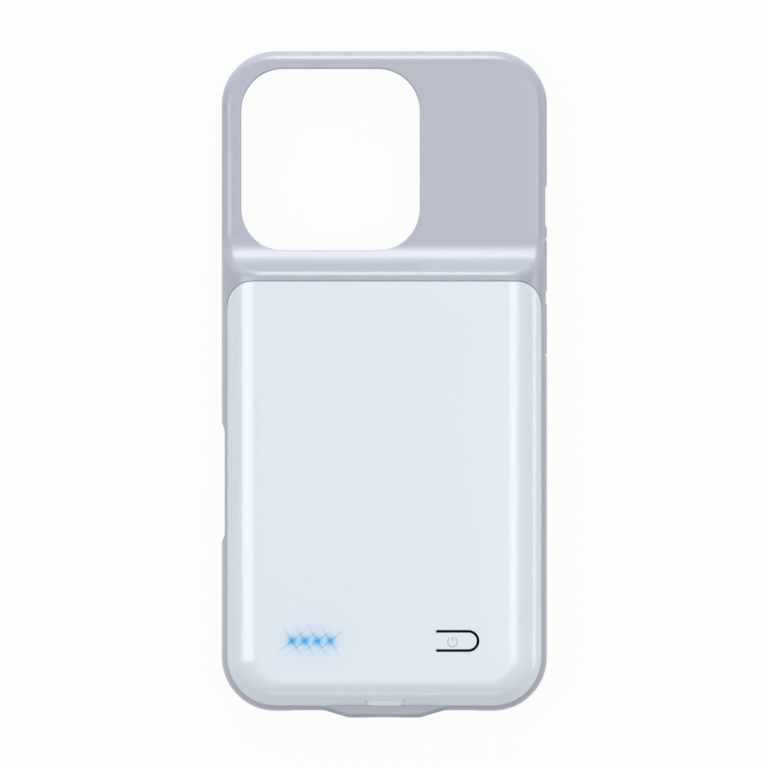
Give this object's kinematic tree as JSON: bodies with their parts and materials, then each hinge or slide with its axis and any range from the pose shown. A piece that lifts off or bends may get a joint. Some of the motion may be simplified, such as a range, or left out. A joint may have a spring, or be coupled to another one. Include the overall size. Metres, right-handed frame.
{
  "type": "battery charging case",
  "caption": "Soft phone case with a built-in battery under a pale glossy cover, a ramp to the camera window, lit charge dots, a power tab, side keys and a charging plug.",
  "frame": {"origin": "under the middle of the case, in the plane of the front rim that it lies on", "axes": "+Z out of the case's back, +Y towards the phone's top edge, +X to the right seen from the back"},
  "size_m": [0.0756, 0.1548, 0.0184],
  "materials": {
    "frame_tpu": "satin soft plastic, grey-blue",
    "cover_gloss": "polished plastic, pale blue-grey",
    "plate_plastic": "fine matte plastic",
    "switch_black": "matte",
    "guide_clear": "clear plastic lit blue",
    "board_green": "solder mask",
    "connector_steel": "drawn and plated",
    "connector_black": "moulded, fine matte",
    "collar_rubber": "matte",
    "cell_foil": "laminated foil",
    "tape_black": "matte",
    "foam_grey": "open cell",
    "tab_nickel": "rolled",
    "lead_red": "extruded",
    "lead_black": "extruded",
    "chip_black": "moulded",
    "inductor_grey": "pressed powder",
    "capacitor_tan": "fired ceramic",
    "screw_steel": "zinc plated",
    "led_blue": "clear lens, lit blue"
  },
  "bodies": {
    "case": {"frame": "frame_tpu", "battery_cover": "cover_gloss", "inner_plate": "plate_plastic", "tact_switch": "switch_black", "light_guide": "guide_clear", "main_board": "board_green", "charging_socket_shell": "connector_steel", "charging_socket_tongue": "connector_black", "phone_plug_shell": "connector_steel", "phone_plug_insert": "connector_black", "phone_plug_collar": "collar_rubber", "plug_board": "board_green", "battery_cell": "cell_foil", "cell_tape": "tape_black", "cell_foam": "foam_grey", "protection_board": "board_green", "cell_tabs": "tab_nickel", "red_lead": "lead_red", "black_lead": "lead_black", "controller_chip": "chip_black", "charger_chip": "chip_black", "power_inductor": "inductor_grey", "board_capacitors": "capacitor_tan", "plate_screws": "screw_steel", "board_screws": "screw_steel", "status_led_1": "led_blue", "status_led_2": "led_blue", "status_led_3": "led_blue", "status_led_4": "led_blue"},
    "power_tab": {"power_tab": "cover_gloss"},
    "switch_plunger": {"switch_plunger": "switch_black"},
    "volume_up_key": {"volume_up_key": "frame_tpu"},
    "volume_down_key": {"volume_down_key": "frame_tpu"},
    "side_key": {"side_key": "frame_tpu"}
  },
  "joints": [
    {"name": "power_tab_press", "type": "hinge", "parent": "case", "child": "power_tab", "pos_m": [0.0108, -0.05955, 0.0169], "axis": [0, 1, 0], "range_deg": [0, 1.8], "stiffness_Nm_per_rad": 0.2},
    {"name": "switch_plunger_travel", "type": "slide", "parent": "case", "child": "switch_plunger", "axis": [0, 0, -1], "range_m": [0, 0.0003]},
    {"name": "volume_up_key_press", "type": "slide", "parent": "case", "child": "volume_up_key", "axis": [-1, 0, 0], "range_m": [0, 0.0003], "stiffness_N_per_m": 800},
    {"name": "volume_down_key_press", "type": "slide", "parent": "case", "child": "volume_down_key", "axis": [-1, 0, 0], "range_m": [0, 0.0003], "stiffness_N_per_m": 800},
    {"name": "side_key_press", "type": "slide", "parent": "case", "child": "side_key", "axis": [1, 0, 0], "range_m": [0, 0.0003], "stiffness_N_per_m": 800}
  ],
  "couplings": [
    {"joint": "switch_plunger_travel", "follows": "power_tab_press", "m_per_rad": 0.0082}
  ]
}
